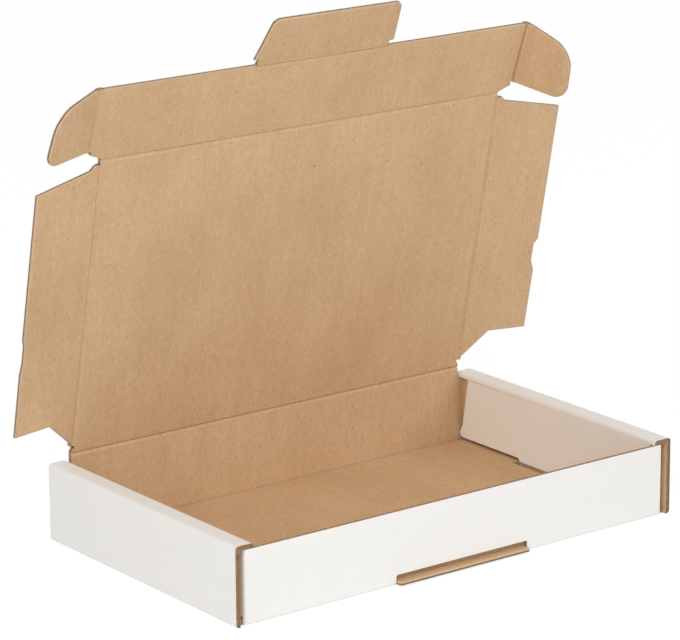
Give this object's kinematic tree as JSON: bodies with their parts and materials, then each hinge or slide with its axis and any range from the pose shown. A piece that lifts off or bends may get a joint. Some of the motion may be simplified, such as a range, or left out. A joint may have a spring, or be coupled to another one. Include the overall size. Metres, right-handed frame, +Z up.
{
  "type": "corrugated mailer box",
  "caption": "Open folded corrugated mailer box, white outside and brown kraft inside, with rolled side walls and a hinged lid that has side flaps, a front flap with ears and a lock tab.",
  "frame": {"origin": "middle of the tray's base, on the surface it stands on", "axes": "+X to the right side wall, +Y to the rear wall that carries the lid, +Z up"},
  "size_m": [0.3594, 0.1795, 0.2903],
  "materials": {
    "corrugated_board": "single-wall corrugated board with a bleached white outer liner and a brown kraft inner liner"
  },
  "bodies": {
    "tray": {"tray": "corrugated_board"},
    "lid_panel": {"lid_panel": "corrugated_board"},
    "left_side_flap": {"left_side_flap": "corrugated_board"},
    "right_side_flap": {"right_side_flap": "corrugated_board"},
    "front_flap": {"front_flap": "corrugated_board"},
    "left_ear": {"left_ear": "corrugated_board"},
    "right_ear": {"right_ear": "corrugated_board"},
    "lock_tab": {"lock_tab": "corrugated_board"}
  },
  "joints": [
    {"name": "lid_hinge", "type": "hinge", "parent": "tray", "child": "lid_panel", "pos_m": [0, 0.0866, 0.0481], "axis": [1, 0, 0], "range_deg": [-102, 78]},
    {"name": "left_side_flap_fold", "type": "hinge", "parent": "lid_panel", "child": "left_side_flap", "pos_m": [-0.13655, 0.06827, 0.13432], "axis": [0, -0.2079, 0.9781], "range_deg": [-9, 81]},
    {"name": "right_side_flap_fold", "type": "hinge", "parent": "lid_panel", "child": "right_side_flap", "pos_m": [0.13655, 0.06827, 0.13432], "axis": [0, 0.2079, -0.9781], "range_deg": [-9, 81]},
    {"name": "front_flap_fold", "type": "hinge", "parent": "lid_panel", "child": "front_flap", "pos_m": [0, 0.04995, 0.22055], "axis": [1, 0, 0], "range_deg": [-8, 82]},
    {"name": "left_ear_fold", "type": "hinge", "parent": "front_flap", "child": "left_ear", "pos_m": [-0.1456, 0.0414, 0.24404], "axis": [0, -0.342, 0.9397], "range_deg": [-16.5, 73.5]},
    {"name": "right_ear_fold", "type": "hinge", "parent": "front_flap", "child": "right_ear", "pos_m": [0.1456, 0.0414, 0.24404], "axis": [0, 0.342, -0.9397], "range_deg": [-58, 32]},
    {"name": "lock_tab_fold", "type": "hinge", "parent": "front_flap", "child": "lock_tab", "pos_m": [0, 0.03498, 0.26166], "axis": [1, 0, 0], "range_deg": [-10, 80]}
  ]
}
